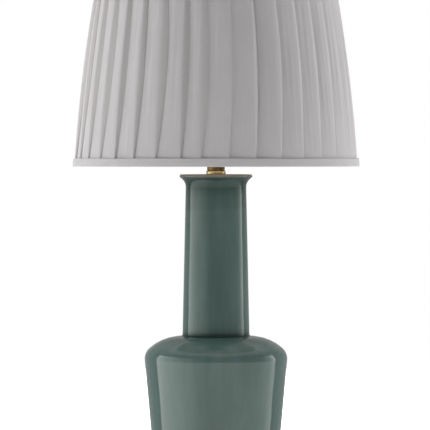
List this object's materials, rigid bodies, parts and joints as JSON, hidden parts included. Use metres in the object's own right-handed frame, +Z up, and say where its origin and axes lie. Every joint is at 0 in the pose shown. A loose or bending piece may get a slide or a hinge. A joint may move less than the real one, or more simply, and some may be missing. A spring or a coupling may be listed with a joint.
{
  "type": "table lamp",
  "caption": "Table lamp with a glazed ceramic base shaped as a long-necked bottle vase, a brass neck, a harp and a bowed, knife-pleated fabric shade with plain trim bands.",
  "frame": {"origin": "on the surface the lamp stands on, under the middle of the foot", "axes": "+Z up along the lamp's axis, -Y towards the front, away from the cord outlet"},
  "size_m": [0.4067, 0.4068, 0.7577],
  "materials": {
    "celadon_glaze": "glossy grey-green glaze over stoneware",
    "felt": "matte felt",
    "black_moulding": "satin black moulding",
    "rubber": "matte",
    "zinc_steel": "zinc plated",
    "antique_brass": "antique, satin",
    "harp_brass": "plated, satin",
    "socket_brass": "bright",
    "liner_card": "plain card",
    "bright_aluminium": "bright",
    "solder": "satin",
    "black_glass": "glossy",
    "bulb_white": "satin white",
    "board_white": "white board",
    "bulb_opal": "opal",
    "frame_steel": "off-white coat",
    "lining_cloth": "smooth woven",
    "pleated_cloth": "fine woven, knife pleated",
    "trim_cloth": "fine woven tape"
  },
  "bodies": {
    "base": {"ceramic_vase": "celadon_glaze", "foot_felt": "felt", "cord_bushing": "black_moulding", "bottom_rubber_washer": "rubber", "bottom_steel_washer": "zinc_steel", "bottom_lock_washer": "zinc_steel", "bottom_hex_nut": "zinc_steel", "lamp_pipe": "zinc_steel", "vase_cap": "antique_brass", "brass_neck": "antique_brass", "harp_saddle": "harp_brass", "saddle_nut": "zinc_steel", "harp_wire": "harp_brass", "harp_stud": "harp_brass", "socket_cap": "socket_brass", "socket_shell": "socket_brass", "socket_liner": "liner_card", "socket_interior": "black_moulding", "socket_screw_shell": "bright_aluminium", "socket_centre_contact": "socket_brass"},
    "switch": {"switch_knob": "black_moulding", "switch_spindle": "socket_brass"},
    "bulb": {"bulb_tip": "solder", "bulb_insulator": "black_glass", "bulb_screw_cap": "bright_aluminium", "bulb_housing": "bulb_white", "bulb_light_board": "board_white", "bulb_globe": "bulb_opal"},
    "left_sleeve": {"harp_sleeve_left": "harp_brass"},
    "right_sleeve": {"harp_sleeve_right": "harp_brass"},
    "shade": {"shade_spider": "frame_steel", "shade_top_ring": "frame_steel", "shade_bottom_ring": "frame_steel", "shade_ribs": "frame_steel", "shade_lining": "lining_cloth", "shade_cover": "pleated_cloth", "shade_trim_bottom": "trim_cloth", "shade_trim_top": "trim_cloth"},
    "finial": {"finial": "antique_brass"}
  },
  "joints": [
    {"name": "switch_turn", "type": "hinge", "parent": "base", "child": "switch", "pos_m": [0, -0.0255, 0.4962], "axis": [0, -1, 0], "continuous": true},
    {"name": "bulb_turn", "type": "hinge", "parent": "base", "child": "bulb", "pos_m": [0, 0, 0.5066], "axis": [0, 0, 1], "continuous": true},
    {"name": "harp_sleeve_left_lift", "type": "slide", "parent": "base", "child": "left_sleeve", "axis": [0, 0, 1], "range_m": [0, 0.015]},
    {"name": "harp_sleeve_right_lift", "type": "slide", "parent": "base", "child": "right_sleeve", "axis": [0, 0, 1], "range_m": [0, 0.015]},
    {"name": "shade_turn", "type": "hinge", "parent": "base", "child": "shade", "pos_m": [0, 0, 0.7195], "axis": [0, 0, 1], "continuous": true},
    {"name": "finial_turn", "type": "hinge", "parent": "base", "child": "finial", "pos_m": [0, 0, 0.7217], "axis": [0, 0, 1], "continuous": true}
  ]
}
